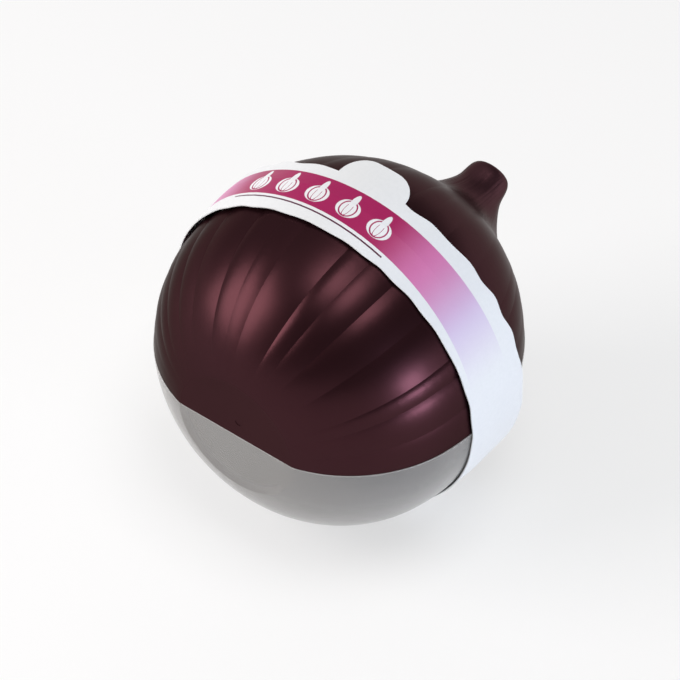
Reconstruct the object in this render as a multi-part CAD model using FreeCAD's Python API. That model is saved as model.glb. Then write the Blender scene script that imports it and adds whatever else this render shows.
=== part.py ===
import FreeCAD, Part
import math
import os

os.makedirs("parts", exist_ok=True)
V = FreeCAD.Vector

# Sizes of the keeper, all in millimetres and degrees.
# The onion lies on its side: X runs along its axis toward the stem, Z is up,
# and z = 0 is the face it rests on, right under the widest part of the body.
# The outline is a chain of tangent arcs, from the girth toward each end, whose
# radii are in proportion to the body's.
body_radius = 55.0
root_girth_arc = 1.617 * body_radius
root_girth_sweep = 11.05
root_shoulder_arc = 0.818 * body_radius
facet_flat_radius = 0.3855 * body_radius
facet_corner = 2.4
inner_corner_share = 0.3
stem_girth_arc = 0.839 * body_radius
stem_girth_sweep = 11.93
stem_shoulder_arc = 1.0845 * body_radius
stem_shoulder_end = 69.98
wall = 2.4

# Lid and base meet on a level plane through the axis with a stepped rim. The
# lid's skin stands a little inside the base's, which shows as a narrow ledge.
rim_ledge = 0.3
skirt = 1.4
rim_clearance = 0.25
tongue_height = 2.6
tongue_head_room = 0.3

# Paper sleeve round the girth.
paper = 0.3
sleeve_gap = 0.35
foot_gap = 0.3
sleeve_left = -11.6
sleeve_right = 11.5
sleeve_left_lean = 2.0
sleeve_right_lean = 3.2
sleeve_lean_angle = 60.0
left_wave = 0.22
left_wave_count = 27
right_wave = 0.50
right_wave_count = 26
right_wave_phase = 0.8
tab_reach = 6.8
tab_half_width = 11.5
tab_centre_y = -2.8
tab_corner = 7.8
wave_start_angle = 110.0
wave_fade_angle = 30.0
sleeve_rest_x = -7.0
ring_depth = 0.9

# The base stands on a flat foot; the sleeve's paper passes under it.
foot_cut = 2.6
foot_z = paper + foot_gap
axis_z = foot_z + body_radius - foot_cut

# Pleats of the lid: each crease's angle from the top, negative toward -Y,
# and its depth. A crease is narrow, and falls away more softly on its +Y side.
pleats = [(-78.5, 0.35), (-66.5, 0.55), (-60.0, 0.40), (-44.5, 0.45), (-30.5, 0.65),
          (-20.5, 0.50), (-12.5, 0.65), (3.5, 0.55), (11.5, 0.30), (21.0, 0.55),
          (36.0, 0.45), (47.0, 0.55), (58.5, 0.45), (68.0, 0.55), (79.0, 0.35)]
pleat_sharpness = 5
pleat_soft_side = 0.55
pleat_fade = 9.0
pleat_least = 0.15
pleat_stem_share = 0.5
pleat_stem_blend = 10.0

# Stem: it leaves the shoulder in a wide flare and bends upward to its tip.
shoulder_back = 12.0
flare_pull = 1.26
stem_length = 19.9
stem_tip_rise = 11.4
stem_rise_bend = 0.90
stem_tip_radius = 6.4
stem_tip_slope = 0.10
stem_tilt = 20.0
stem_tip_round = 1.0
stem_open_angle = 158.0
trim_below = 2.0

# Hollow that runs from the lid's cup up into the stem.
core_start_radius = 11.0
core_end_radius = 3.0
core_length = 20.0
core_forward = 3.0
core_above_wall = 1.0

# Moulding mark on the root facet.
gate_y = -1.3
gate_z = 6.1
gate_radius = 1.1
gate_depth = 0.12

# Sections that the lid's skin and the sleeve's edges are drawn through.
body_sections = 10
stem_sections = 6
edge_sections = 60


def root_arcs(inset):
    """Arcs from the girth to the root facet: centres, radii and joints."""
    a = math.radians(root_girth_sweep)
    big = root_girth_arc - inset
    small = root_shoulder_arc - inset
    c1 = V(0, body_radius - root_girth_arc, 0)
    out = V(-math.sin(a), math.cos(a), 0)
    c2 = c1 + out * (big - small)
    edge = facet_corner if inset == 0 else inner_corner_share * facet_corner
    flat = facet_flat_radius - inset
    reach = small - edge
    c3 = V(c2.x - math.sqrt(reach ** 2 - (flat - c2.y) ** 2), flat, 0)
    away = (c3 - c2) * (1.0 / reach)
    return {"c1": c1, "r1": big, "c2": c2, "r2": small, "c3": c3, "r3": edge,
            "join12": c1 + out * big, "join23": c2 + away * small,
            "end": V(c3.x - edge, flat, 0)}


def stem_arcs(inset):
    """Arcs from the girth to the nose at the stem end, centred on the axis."""
    a = math.radians(stem_girth_sweep)
    b = math.radians(stem_shoulder_end)
    first = stem_girth_arc - inset
    second = stem_shoulder_arc - inset
    c1 = V(0, body_radius - stem_girth_arc, 0)
    out = V(math.sin(a), math.cos(a), 0)
    c2 = c1 + out * (first - second)
    side = V(math.sin(b), math.cos(b), 0)
    third = second + c2.y / side.y
    c3 = c2 + side * (second - third)
    return {"c1": c1, "r1": first, "c2": c2, "r2": second, "c3": c3, "r3": third,
            "join12": c1 + out * first, "join23": c2 + side * second,
            "end": V(c3.x + third, 0, 0)}


outside_root = root_arcs(0.0)
outside_stem = stem_arcs(0.0)
facet_x = outside_root["end"].x
nose_x = outside_stem["end"].x
shoulder_x = nose_x - shoulder_back
stem_tip_x = nose_x + stem_length


def body_r(x):
    """Radius of the onion's outside at x."""
    arcs = outside_root if x < 0 else outside_stem
    if abs(x) <= abs(arcs["join12"].x):
        c, r = arcs["c1"], arcs["r1"]
    elif abs(x) <= abs(arcs["join23"].x):
        c, r = arcs["c2"], arcs["r2"]
    else:
        c, r = arcs["c3"], arcs["r3"]
    return c.y + math.sqrt(max(r ** 2 - (x - c.x) ** 2, 0.0))


def skin_r(x):
    """Radius of the lid's skin at x, pleats and stem apart."""
    return body_r(x) - rim_ledge


def arc(centre, radius, start, end):
    """The shorter arc between two points of a circle in the level plane."""
    middle = (start + end) * 0.5 - centre
    through = centre + middle.normalize() * radius
    return Part.Arc(start, through, end).toShape()


def half_outline(inset):
    """Level face between the axis and the onion's outline on the +Y side."""
    root = root_arcs(inset)
    stem = stem_arcs(inset)
    top = V(0, body_radius - inset, 0)
    foot = V(root["end"].x, 0, 0)
    edges = [Part.makeLine(foot, root["end"])]
    edges.append(arc(root["c3"], root["r3"], root["end"], root["join23"]))
    edges.append(arc(root["c2"], root["r2"], root["join23"], root["join12"]))
    edges.append(arc(root["c1"], root["r1"], root["join12"], top))
    edges.append(arc(stem["c1"], stem["r1"], top, stem["join12"]))
    edges.append(arc(stem["c2"], stem["r2"], stem["join12"], stem["join23"]))
    edges.append(arc(stem["c3"], stem["r3"], stem["join23"], stem["end"]))
    edges.append(Part.makeLine(stem["end"], foot))
    face = Part.Face(Part.Wire(edges))
    face.translate(V(0, 0, axis_z))
    return face


def half_onion(inset, turn):
    """Half of the onion without its stem: turn 180 is the upper half."""
    return half_outline(inset).revolve(V(0, 0, axis_z), V(1, 0, 0), turn)


def rim_block(inset, z0, z1):
    """Upright block that follows the rim's outline, set in from the outside."""
    side = half_outline(inset).extrude(V(0, 0, z1 - z0))
    side.translate(V(0, 0, z0 - axis_z))
    other = side.mirror(V(0, 0, 0), V(0, 1, 0))
    return side.fuse(other).removeSplitter()


def slab(z0, z1):
    """A block over the whole onion between two heights."""
    reach = 2.0 * body_radius
    length = 4.0 * body_radius
    return Part.makeBox(length, 2 * reach, z1 - z0, V(-0.5 * length, -reach, z0))


def smooth(t):
    t = min(max(t, 0.0), 1.0)
    return t * t * (3.0 - 2.0 * t)


def body_stations():
    """Steps along the axis, closer together where the outline turns in."""
    corner = outside_root["c3"].x
    xs = [facet_x + share * facet_corner for share in (0.0, 0.10, 0.45)]
    t0 = math.asin(0.93 * corner / abs(facet_x))
    t1 = math.asin(shoulder_x / nose_x)
    last = body_sections - 1
    for i in range(body_sections):
        s = math.sin(t0 + (t1 - t0) * i / last)
        if s < 0:
            xs.append(corner * s / math.sin(t0))
        else:
            xs.append(nose_x * s)
    return xs


def stem_r(x):
    """Radius of the stem, a curve that leaves the shoulder along its slope."""
    span = stem_tip_x - shoulder_x
    u = (x - shoulder_x) / span
    step = 0.1
    slope = (skin_r(shoulder_x + step) - skin_r(shoulder_x - step)) / (2 * step)
    start = 2 * u ** 3 - 3 * u ** 2 + 1
    leave = (u ** 3 - 2 * u ** 2 + u) * span * slope * flare_pull
    arrive = (u ** 3 - u ** 2) * span * stem_tip_slope
    return start * skin_r(shoulder_x) + leave + (1 - start) * stem_tip_radius - arrive


def stem_rise(x):
    """How far the middle of a stem section lies above the axis."""
    t = max(x - shoulder_x, 0.0) / (stem_tip_x - shoulder_x)
    return stem_tip_rise * t ** stem_rise_bend


def pleat_share(x, r):
    """How much of its depth a pleat keeps at x."""
    near_facet = smooth((x - facet_x + 0.06 * pleat_fade) / pleat_fade)
    kept = pleat_least + (1.0 - pleat_least) * near_facet
    past_girth = smooth(0.5 * (x + pleat_stem_blend) / pleat_stem_blend)
    kept = kept * (1.0 - (1.0 - pleat_stem_share) * past_girth)
    return kept * min(1.0, 0.1 + 1.1 * r / body_radius)


def section_point(angle, r, x, rise, tilt):
    """A point of a lid section, kept from falling below the rim."""
    a = math.radians(angle)
    high = r * math.cos(a)
    z = max(rise + high * math.cos(tilt), 0.0)
    return V(x - high * math.sin(tilt), r * math.sin(a), axis_z + z)


def lid_lobe(here, after, r, x, rise, tilt):
    """Round stretch of a section between two creases, pulled in at its ends."""
    centre = V(x, 0, axis_z + rise)
    pull = 4.0 / 3.0 * math.tan(math.radians(after[0] - here[0]) / 4.0)
    turn = math.degrees(math.atan(pull))
    reach = r * math.hypot(1.0, pull)
    lobe = Part.BezierCurve()
    lobe.setPoles([section_point(here[0], r, x, rise, tilt),
                   section_point(here[0] + turn, reach, x, rise, tilt),
                   section_point(after[0] - turn, reach, x, rise, tilt),
                   section_point(after[0], r, x, rise, tilt)])
    lobe.increase(pleat_sharpness)
    poles = lobe.getPoles()
    for k in range(pleat_sharpness):
        inward = (centre - poles[k]).normalize()
        poles[k] = poles[k] + inward * (here[1] * pleat_soft_side ** k)
    inward = (centre - poles[-1]).normalize()
    poles[-1] = poles[-1] + inward * after[1]
    lobe.setPoles(poles)
    return lobe.toShape()


def lid_section(x, r, rise, tilt_deg):
    """Closed outline of the lid at x: round between creases, level below.

    It runs a little way below the rim, where it is trimmed level afterwards.
    """
    share = pleat_share(x, r)
    open_angle = 90.0 + math.degrees(math.asin(min(rise / r, 1.0)))
    spread = min(open_angle, stem_open_angle) / 90.0
    tilt = math.radians(tilt_deg)
    along = smooth((x - shoulder_x) / (stem_tip_x - shoulder_x))
    creases = [(-90.0, 0.0)] + pleats + [(90.0, 0.0)]
    spots = [(a * spread, d * share) for a, d in creases]
    edges = []
    for here, after in zip(spots, spots[1:]):
        edges.append(lid_lobe(here, after, r, x, rise, tilt))
    first = section_point(spots[0][0], r, x, rise, tilt)
    last = section_point(spots[-1][0], r, x, rise, tilt)
    down = V(math.sin(tilt), 0, -math.cos(tilt)) * trim_below * (1.0 - 0.9 * along)
    edges.append(Part.makeLine(last, last + down))
    edges.append(Part.makeLine(last + down, first + down))
    edges.append(Part.makeLine(first + down, first))
    return Part.Wire(edges)


def lid_outside():
    """Skin of the lid from the root facet to the tip of the stem."""
    wires = [lid_section(x, skin_r(x), stem_rise(x), 0.0) for x in body_stations()]
    span = stem_tip_x - stem_tip_round - shoulder_x
    for i in range(1, stem_sections + 1):
        t = i / stem_sections
        x = shoulder_x + span * t
        wires.append(lid_section(x, stem_r(x), stem_rise(x), stem_tilt * smooth(t)))
    end_r = stem_tip_radius - stem_tip_round
    wires.append(lid_section(stem_tip_x, end_r, stem_rise(stem_tip_x), stem_tilt))
    return Part.makeLoft(wires, True, False, False)


def stem_core():
    """Tapered hollow that follows the stem's bend out of the lid's cup."""
    lean = math.atan2(stem_tip_rise, stem_tip_x - shoulder_x)
    toward = V(math.cos(lean), 0, math.sin(lean))
    foot = V(shoulder_x + core_forward, 0, axis_z + wall + core_above_wall)
    core = Part.makeCone(core_start_radius, core_end_radius, core_length, foot, toward)
    return core.common(slab(axis_z + wall, axis_z + body_radius))


def make_lid():
    """Pleated upper shell with the stem, its rim stepped inside."""
    shell = lid_outside().cut(slab(axis_z - 2 * trim_below, axis_z))
    shell = shell.cut(half_onion(wall, 180))
    rebate = rim_block(skirt, axis_z, axis_z + tongue_height + tongue_head_room)
    gate_place = V(facet_x, gate_y, axis_z + gate_z)
    gate = Part.makeCylinder(gate_radius, gate_depth, gate_place, V(1, 0, 0))
    return shell.cut(rebate).cut(stem_core()).cut(gate)


def make_base():
    """Smooth lower half with a flat foot and the tongue of the rim."""
    outer = half_onion(0.0, -180).cut(slab(-body_radius, foot_z))
    cavity = half_onion(wall, -180).cut(slab(-body_radius, foot_z + wall))
    top = axis_z + tongue_height
    tongue = rim_block(skirt + rim_clearance, axis_z, top).cut(rim_block(wall, axis_z, top))
    return outer.cut(cavity).fuse(tongue).removeSplitter()


def sleeve_edge(angle, side):
    """Place along X of a sleeve edge, cut in a slow wave."""
    a = math.radians(angle)
    lean = math.cos(a - math.radians(sleeve_lean_angle))
    fade = smooth((wave_start_angle - abs(angle)) / wave_fade_angle)
    if side < 0:
        wave = left_wave * math.sin(left_wave_count * a)
        return sleeve_left - sleeve_left_lean * lean + wave * fade
    wave = right_wave * math.sin(right_wave_count * a + right_wave_phase)
    return sleeve_right - sleeve_right_lean * lean + wave * fade


def sleeve_outline():
    """A thick ring whose two ends carry the outline of the paper's edges."""
    inner = 0.6 * body_radius
    outer = 1.2 * body_radius
    wires = []
    for i in range(edge_sections):
        angle = -180.0 + 360.0 * i / edge_sections
        a = math.radians(angle)
        ring = []
        for r, side in ((inner, -1), (outer, -1), (outer, 1), (inner, 1)):
            x = sleeve_edge(angle, side)
            ring.append(V(x, r * math.sin(a), axis_z + r * math.cos(a)))
        wires.append(Part.makePolygon(ring + [ring[0]]))
    return Part.makeLoft(wires + [wires[0]], True, False, False)


def tab_outline():
    """Upright block with two round corners, over the sleeve's stem side."""
    length = sleeve_right + tab_reach
    y0 = tab_centre_y - tab_half_width
    start = V(0, y0, axis_z + 0.5 * body_radius)
    block = Part.makeBox(length, 2 * tab_half_width, body_radius, start)
    corners = []
    for edge in block.Edges:
        a = edge.Vertexes[0].Point
        b = edge.Vertexes[1].Point
        if abs(a.x - length) < 1e-6 and abs(b.z - a.z) > 0.5 * body_radius:
            corners.append(edge)
    return block.makeFillet(tab_corner, corners)


def girth_ring(grow):
    """Ring that lies this far off the skin: a cone toward the root, touching
    level with sleeve_rest_x, and straight past the girth, so it can slide off.
    """
    slope = -sleeve_rest_x / math.sqrt(root_girth_arc ** 2 - sleeve_rest_x ** 2)
    rest_r = body_r(sleeve_rest_x) + grow
    girth_r = rest_r - slope * sleeve_rest_x
    inner = ring_depth * body_radius
    end = 0.5 * body_radius
    corners = [V(-end, inner, 0), V(-end, girth_r - slope * end, 0), V(0, girth_r, 0),
               V(end, girth_r, 0), V(end, inner, 0), V(-end, inner, 0)]
    face = Part.Face(Part.makePolygon(corners))
    face.translate(V(0, 0, axis_z))
    return face.revolve(V(0, 0, axis_z), V(1, 0, 0), 360)


def make_sleeve():
    """Closed band of paper, round the girth and flat under the foot."""
    above = 4 * body_radius
    outer = girth_ring(sleeve_gap + paper).common(slab(0, above))
    inner = girth_ring(sleeve_gap).common(slab(paper, above))
    return outer.cut(inner).common(sleeve_outline().fuse(tab_outline()))


def save(name, shape):
    """Write a piece, and print what it is, as a check."""
    solids = shape.Solids
    print(name, shape.isValid(), len(solids), len(shape.Faces))
    solids[0].exportStep("parts/" + name + ".step")


save("lid", make_lid())
save("base", make_base())
save("sleeve", make_sleeve())
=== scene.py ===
import math
import bpy
from mathutils import Matrix, Vector


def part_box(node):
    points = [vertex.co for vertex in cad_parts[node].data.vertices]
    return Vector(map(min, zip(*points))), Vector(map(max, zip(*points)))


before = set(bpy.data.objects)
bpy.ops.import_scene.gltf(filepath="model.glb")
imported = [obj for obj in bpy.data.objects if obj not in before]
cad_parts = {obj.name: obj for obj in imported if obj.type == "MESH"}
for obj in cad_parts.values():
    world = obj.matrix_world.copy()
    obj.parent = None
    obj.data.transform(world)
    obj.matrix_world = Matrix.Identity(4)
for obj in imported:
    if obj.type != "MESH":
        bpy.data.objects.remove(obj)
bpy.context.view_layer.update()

# Lengths are in metres, and angles in degrees. The onion's axis runs along X
# at the height of the lid's rim, and its girth is at x = 0.
AXIS_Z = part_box("lid")[0][2]
BODY_R = 0.055

# The photograph's view: turned and raised by these, from far off.
VIEW_AZIMUTH = -51.74
VIEW_ELEVATION = 45.44
VIEW_ROLL = -0.58
VIEW_DISTANCE = 0.88
LENS_MM = 154.5
SENSOR_MM = 36.0
AIM_RIGHT = -0.00124
AIM_UP = -0.00149

# The world's strength: a white strip at the horizon, dim above it, and a soft
# glow from behind.
HORIZON_LIGHT = 1.0
HORIZON_TOP, SKY_START = 0.12, 0.24
SKY_LIGHT = 0.12
GLOW_FROM = (0.17, 0.62, 0.77)
GLOW_START, GLOW_FULL = 0.30, 1.0
GLOW_LIGHT = 0.45

# Each lamp's name, direction from the body, distance, size, power in watts
# and colour.
LAMPS = (
    ("lamp_back_left", (-0.60, 0.61, 0.52), 1.1, (0.66, 0.70), 9.2, (1.0, 0.94, 0.92)),
    ("lamp_right_low", (-0.04, -0.99, 0.05), 2.0, (0.58, 0.42), 23.5, (0.74, 0.82, 1.0)),
    ("lamp_above", (-0.03, -0.22, 0.97), 1.3, (0.66, 0.62), 7.2, (1.0, 1.0, 1.0)),
)

FLOOR_RADIUS = 4.0
FLOOR_SIDES = 96
FLOOR_GLOW = 0.60

# Colours, as screen values from 0 to 255.
LID_DARK = (54, 28, 33)
LID_LIGHT = (62, 33, 38)
LID_STEM_SHEEN = (80, 50, 56)
BASE_CLEAR = (190, 188, 186)
BASE_RIM_HIGHLIGHT = (250, 246, 244)
PAPER_DARK = (221, 224, 226)
PAPER_LIGHT = (231, 233, 235)
PRINT_DEEP = (158, 14, 84)
PRINT_PINK = (204, 118, 170)
PRINT_LILAC = (206, 190, 222)
PRINT_WHITE = (228, 230, 233)
PRINT_RULE = (84, 26, 58)
FLOOR_DARK = (240, 240, 240)
FLOOR_LIGHT = (244, 244, 244)
WHITE = (1.0, 1.0, 1.0, 1.0)

# The lid's colour is painted lighter toward the stem as a painted sheen, and the stem
# has fine lines.
STEM_SHEEN_SPAN = (-0.005, 0.050)
STEM_LINES = (0.040, 0.060)
LID_METAL = 0.85
LID_EDGE_TINT = (0.42, 0.42, 0.40, 1.0)

# The painted highlight: a pale line along the base's rim, below the axis.
RIM_HIGHLIGHT_LINE = (0.0004, 0.0002)
BASE_CLEARNESS = 0.7

# The printed band's two edges along X at the top of the ring, and how far each
# moves for a degree of turn.
BAND_LOW, BAND_LOW_TURN = -0.0073, 0.000012
BAND_HIGH, BAND_HIGH_TURN = 0.0054, -0.000026
PRINT_SOFT = 0.00008
# Its colour changes and fades out this far to each side of its middle.
BAND_MIDDLE = 9.0
TO_PINK = (24.0, 44.0)
TO_LILAC = (40.0, 66.0)
TO_PAPER = (56.0, 84.0)
OUTER_SIDE = 0.02

# The row of printed onions: each one's half sizes are given round the ring and
# along X.
ROW_MIDDLE = 8.0
ROW_HALF = 0.0280
BULB_HALF_PITCH = 0.0056
BULB_X = -0.0022
BULB_HALF = (0.0038, 0.0034)
BULB_EDGE = (0.96, 1.03)
NECK_RISE = 0.0032
NECK_HALF = (0.0010, 0.0030)
NECK_EDGE = (0.92, 1.08)
SKIN_SHARES = (0.24, 0.66)
SKIN_HALF_HEIGHT = 0.0030
SKIN_LINE = (0.05, 0.12)

# The thin dark line beside the band.
RULE_GAP = 0.0013
RULE_HALF = (0.00022, 0.00034)
RULE_REACH = 30.0

# A Mix node's colour sockets share their names with others, so they go by
# place.
MIX_FACTOR, MIX_A, MIX_B, MIX_RESULT = 0, 6, 7, 2


def linear(screen):
    """A colour written as 0 to 255 screen values, as the shaders take it."""
    out = []
    for v in screen:
        v = v / 255.0
        out.append(v / 12.92 if v <= 0.04045 else ((v + 0.055) / 1.055) ** 2.4)
    return (*out, 1.0)


class Nodes:
    """Short way to build the nodes of a material or the world."""

    def __init__(self, owner, output):
        owner.use_nodes = True
        self.owner = owner
        self.tree = owner.node_tree
        self.tree.nodes.clear()
        self.out = self.tree.nodes.new(output)

    def add(self, kind, **inputs):
        node = self.tree.nodes.new("ShaderNode" + kind)
        for key, value in inputs.items():
            self.put(node.inputs[key.replace("_", " ")], value)
        return node

    def put(self, socket, value):
        if isinstance(value, bpy.types.NodeSocket):
            self.tree.links.new(value, socket)
        else:
            socket.default_value = value

    def math(self, op, a, b=0.0, c=0.0):
        node = self.add("Math")
        node.operation = op
        for i, value in enumerate((a, b, c)):
            self.put(node.inputs[i], value)
        return node.outputs[0]

    def step(self, value, low, high, before=0.0, after=1.0):
        """One number below low, another above high, smooth between."""
        node = self.add("MapRange", Value=value, From_Min=low, From_Max=high,
                        To_Min=before, To_Max=after)
        node.interpolation_type = "SMOOTHSTEP"
        return node.outputs[0]

    def inside(self, value, low, high):
        """1 below low, 0 above high, smooth between."""
        return self.math("SUBTRACT", 1.0, self.step(value, low, high))

    def both(self, a, b):
        return self.math("MULTIPLY", a, b)

    def apart(self, a, b):
        return self.math("ABSOLUTE", self.math("SUBTRACT", a, b))

    def mix(self, factor, a, b):
        node = self.add("Mix")
        node.data_type = "RGBA"
        self.put(node.inputs[MIX_FACTOR], factor)
        self.put(node.inputs[MIX_A], a)
        self.put(node.inputs[MIX_B], b)
        return node.outputs[MIX_RESULT]

    def split(self, vector):
        return tuple(self.add("SeparateXYZ", Vector=vector).outputs)

    def position(self):
        """Object coordinates, which are the part's own frame in metres."""
        place = self.add("TexCoord").outputs["Object"]
        return (place, *self.split(place))

    def noise(self, vector, scale, detail=3.0, rough=0.5):
        node = self.add("TexNoise", Vector=vector, Scale=scale, Detail=detail,
                        Roughness=rough)
        return node.outputs["Fac"]

    def bump(self, height, distance, strength):
        node = self.add("Bump", Strength=strength, Distance=distance, Height=height)
        return node.outputs[0]

    def finish(self, shader):
        self.put(self.out.inputs["Surface"], shader.outputs[0])
        return self.owner


def new_material(name):
    return Nodes(bpy.data.materials.new(name), "ShaderNodeOutputMaterial")


def angle_from_top(n, y, z):
    """Angle round the axis, 0 at the top and negative toward -Y, in degrees."""
    rise = n.math("SUBTRACT", z, AXIS_Z)
    return n.math("MULTIPLY", n.math("ARCTAN2", y, rise), 180.0 / math.pi)


def lid_material():
    """Dark maroon pearl plastic with a satin skin, a painted sheen that lightens it
    toward the stem, and fine lines up the stem.
    """
    n = new_material("lid_satin_maroon")
    place, x, y, z = n.position()
    mottle = n.noise(place, 38.0, 3.0)
    grain = n.noise(place, 1500.0, 2.0)
    colour = n.mix(mottle, linear(LID_DARK), linear(LID_LIGHT))
    # Painted sheen: the lid's colour turns lighter toward the stem.
    colour = n.mix(n.step(x, *STEM_SHEEN_SPAN), colour, linear(LID_STEM_SHEEN))
    rough = n.math("ADD", 0.31, n.both(mottle, 0.06))
    # The lines follow the stem: long along X and narrow round the axis.
    angle = angle_from_top(n, y, z)
    drawn = n.add("CombineXYZ", X=n.both(x, 18.0), Y=n.both(angle, 0.35))
    streak = n.noise(drawn.outputs[0], 1.0, 3.0, 0.55)
    lines = n.both(streak, n.step(x, *STEM_LINES))
    height = n.math("ADD", lines, n.both(grain, 0.02))
    return n.finish(n.add(
        "BsdfPrincipled", Base_Color=colour, Roughness=rough, IOR=1.5,
        Metallic=LID_METAL, Specular_Tint=LID_EDGE_TINT,
        Normal=n.bump(height, 0.0004, 0.5)))


def base_material():
    """Smoke-grey clear plastic, a little cloudy, with a painted highlight as a paler
    line on its rim.
    """
    n = new_material("base_smoke_clear")
    place, _, _, z = n.position()
    cloud = n.noise(place, 30.0, 2.0)
    ripple = n.noise(place, 60.0, 2.0)
    rough = n.math("ADD", 0.14, n.both(cloud, 0.05))
    # Painted highlight: a pale line along the base's rim.
    low, high = (AXIS_Z - below for below in RIM_HIGHLIGHT_LINE)
    colour = n.mix(n.step(z, low, high), linear(BASE_CLEAR), linear(BASE_RIM_HIGHLIGHT))
    return n.finish(n.add(
        "BsdfPrincipled", Base_Color=colour, Roughness=rough, IOR=1.49,
        Transmission_Weight=BASE_CLEARNESS, Normal=n.bump(ripple, 0.0003, 0.12)))


def paper_material():
    """Coated white paper with a printed magenta band that fades down the sides."""
    n = new_material("sleeve_printed_paper")
    place, x, y, z = n.position()
    angle = angle_from_top(n, y, z)
    fibre = n.noise(place, 900.0, 4.0, 0.6)
    cockle = n.noise(place, 70.0, 2.0)
    outer = faces_out(n, y, z)
    low = n.math("ADD", BAND_LOW, n.both(angle, BAND_LOW_TURN))
    high = n.math("ADD", BAND_HIGH, n.both(angle, BAND_HIGH_TURN))
    past_high = n.math("SUBTRACT", 1.0, printed_edge(n, x, high))
    band = n.both(printed_edge(n, x, low), past_high)
    away = n.apart(angle, BAND_MIDDLE)
    tone = n.mix(n.step(away, *TO_PINK), linear(PRINT_DEEP), linear(PRINT_PINK))
    tone = n.mix(n.step(away, *TO_LILAC), tone, linear(PRINT_LILAC))
    shown = n.both(band, n.inside(away, *TO_PAPER))
    bulbs = bulb_row(n, x, angle)
    rule = rule_line(n, x, angle, low)
    colour = n.mix(fibre, linear(PAPER_DARK), linear(PAPER_LIGHT))
    colour = n.mix(n.both(shown, outer), colour, tone)
    colour = n.mix(n.both(bulbs, outer), colour, linear(PRINT_WHITE))
    colour = n.mix(n.both(rule, outer), colour, linear(PRINT_RULE))
    height = n.math("ADD", fibre, n.both(cockle, 12.0))
    return n.finish(n.add(
        "BsdfPrincipled", Base_Color=colour, Roughness=0.36, IOR=1.45,
        Normal=n.bump(height, 0.0001, 0.3)))


def faces_out(n, y, z):
    """1 on the outer side of the paper ring, 0 on its plain inner side and cut edges."""
    _, normal_y, normal_z = n.split(n.add("TexCoord").outputs["Normal"])
    across = n.both(y, normal_y)
    upright = n.both(n.math("SUBTRACT", z, AXIS_Z), normal_z)
    return n.math("GREATER_THAN", n.math("ADD", across, upright), OUTER_SIDE)


def printed_edge(n, x, place):
    """0 before the printed edge at this place along X, 1 after it."""
    start = n.math("SUBTRACT", place, PRINT_SOFT)
    return n.step(x, start, n.math("ADD", place, PRINT_SOFT))


def ellipse(n, u, v, half_u, half_v):
    """Below 1 inside an upright ellipse, 1 on its outline."""
    a = n.math("DIVIDE", u, half_u)
    b = n.math("DIVIDE", v, half_v)
    return n.math("SQRT", n.math("ADD", n.both(a, a), n.both(b, b)))


def bulb_row(n, x, angle):
    """A row of small white onions with thin lines in them, along the band."""
    turn = n.math("SUBTRACT", angle, ROW_MIDDLE)
    run = n.both(turn, BODY_R * math.pi / 180.0)
    u = n.math("WRAP", run, BULB_HALF_PITCH, -BULB_HALF_PITCH)
    v = n.math("SUBTRACT", x, BULB_X)
    bulb = n.inside(ellipse(n, u, v, *BULB_HALF), *BULB_EDGE)
    above = n.math("SUBTRACT", v, NECK_RISE)
    neck = n.inside(ellipse(n, u, above, *NECK_HALF), *NECK_EDGE)
    for share in SKIN_SHARES:
        skin = ellipse(n, u, v, BULB_HALF[0] * share, SKIN_HALF_HEIGHT)
        bulb = n.both(bulb, n.step(n.apart(skin, 1.0), *SKIN_LINE))
    shape = n.math("MAXIMUM", bulb, neck)
    reach = n.math("ABSOLUTE", run)
    return n.both(shape, n.math("LESS_THAN", reach, ROW_HALF))


def rule_line(n, x, angle, low):
    """A thin dark line printed beside the band, over the top of the sleeve."""
    off = n.apart(x, n.math("SUBTRACT", low, RULE_GAP))
    line = n.inside(off, *RULE_HALF)
    away = n.apart(angle, ROW_MIDDLE)
    return n.both(line, n.math("LESS_THAN", away, RULE_REACH))


def dress(node, material):
    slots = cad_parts[node].data.materials
    slots.clear()
    slots.append(material)


def floor_material():
    """Pale floor that takes shadows and shows as near white, in reflections too."""
    n = new_material("floor_pale")
    place = n.position()[0]
    speck = n.noise(place, 8.0, 2.0)
    colour = n.mix(speck, linear(FLOOR_DARK), linear(FLOOR_LIGHT))
    lit = n.add("BsdfDiffuse", Color=colour)
    glow = n.add("Emission", Color=WHITE, Strength=1.0)
    path = n.add("LightPath").outputs
    seen = n.math("MAXIMUM", path["Is Camera Ray"], path["Is Transmission Ray"])
    seen = n.math("MAXIMUM", seen, path["Is Glossy Ray"])
    blend = n.add("MixShader")
    n.put(blend.inputs[0], n.both(seen, FLOOR_GLOW))
    n.put(blend.inputs[1], lit.outputs[0])
    n.put(blend.inputs[2], glow.outputs[0])
    return n.finish(blend)


def make_floor():
    bpy.ops.mesh.primitive_circle_add(
        vertices=FLOOR_SIDES, radius=FLOOR_RADIUS, fill_type="NGON", location=(0, 0, 0))
    floor = bpy.context.object
    floor.name = "floor"
    floor.data.materials.append(floor_material())


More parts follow.
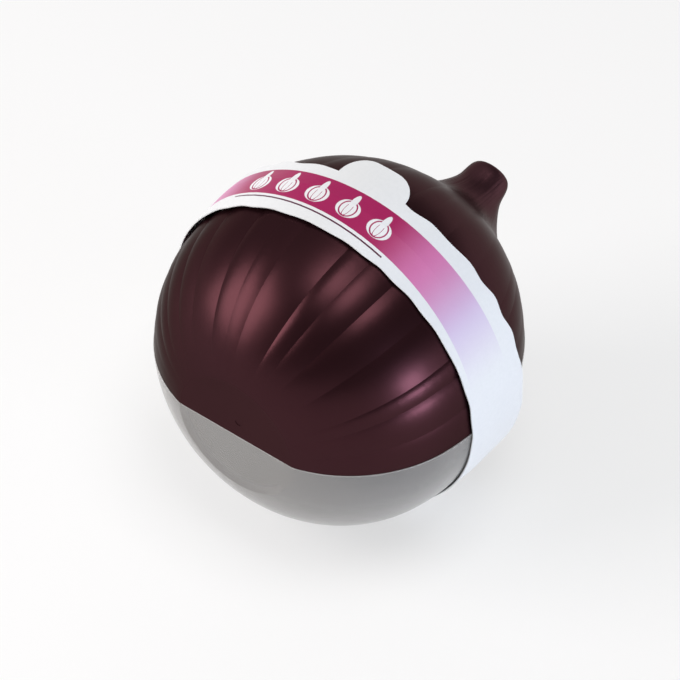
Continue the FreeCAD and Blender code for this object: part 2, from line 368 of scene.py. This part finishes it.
def make_world():
    """A white backdrop at the horizon, dim overhead, with a soft glow from behind."""
    world = bpy.data.worlds.new("studio")
    bpy.context.scene.world = world
    n = Nodes(world, "ShaderNodeOutputWorld")
    ray = n.add("TexCoord").outputs["Generated"]
    height = n.split(ray)[2]
    sky = n.step(height, HORIZON_TOP, SKY_START, HORIZON_LIGHT, SKY_LIGHT)
    toward = n.add("VectorMath")
    toward.operation = "DOT_PRODUCT"
    n.put(toward.inputs[0], ray)
    n.put(toward.inputs[1], GLOW_FROM)
    glow = n.step(toward.outputs["Value"], GLOW_START, GLOW_FULL, 0.0, GLOW_LIGHT)
    light = n.math("MAXIMUM", sky, glow)
    n.finish(n.add("Background", Color=WHITE, Strength=light))


def make_lamp(name, toward, distance, size, power, colour):
    """A soft rectangular lamp that faces the body from the direction given."""
    data = bpy.data.lights.new(name, "AREA")
    data.shape = "RECTANGLE"
    data.size, data.size_y = size
    data.energy = power
    data.color = colour
    lamp = bpy.data.objects.new(name, data)
    bpy.context.scene.collection.objects.link(lamp)
    ray = Vector(toward).normalized()
    lamp.location = Vector((0, 0, AXIS_Z)) + ray * distance
    lamp.rotation_euler = ray.to_track_quat("Z", "Y").to_euler()


def make_camera():
    az = math.radians(VIEW_AZIMUTH)
    el = math.radians(VIEW_ELEVATION)
    flat = math.cos(el)
    back = Vector((math.sin(az) * flat, -math.cos(az) * flat, math.sin(el)))
    right = Vector((math.cos(az), math.sin(az), 0.0))
    up = back.cross(right)
    aim = Vector((0, 0, AXIS_Z)) + right * AIM_RIGHT + up * AIM_UP
    data = bpy.data.cameras.new("camera")
    data.sensor_width = SENSOR_MM
    data.lens = LENS_MM
    data.clip_start = 0.01
    camera = bpy.data.objects.new("camera", data)
    bpy.context.scene.collection.objects.link(camera)
    turn = Matrix((right, up, back)).transposed()
    roll = Matrix.Rotation(math.radians(VIEW_ROLL), 3, "Z")
    camera.matrix_world = (turn @ roll).to_4x4()
    camera.location = aim + back * VIEW_DISTANCE
    bpy.context.scene.camera = camera


dress("lid", lid_material())
dress("base", base_material())
dress("sleeve", paper_material())
make_floor()
make_world()
for lamp_row in LAMPS:
    make_lamp(*lamp_row)
make_camera()
bpy.context.scene.view_settings.view_transform = "Standard"
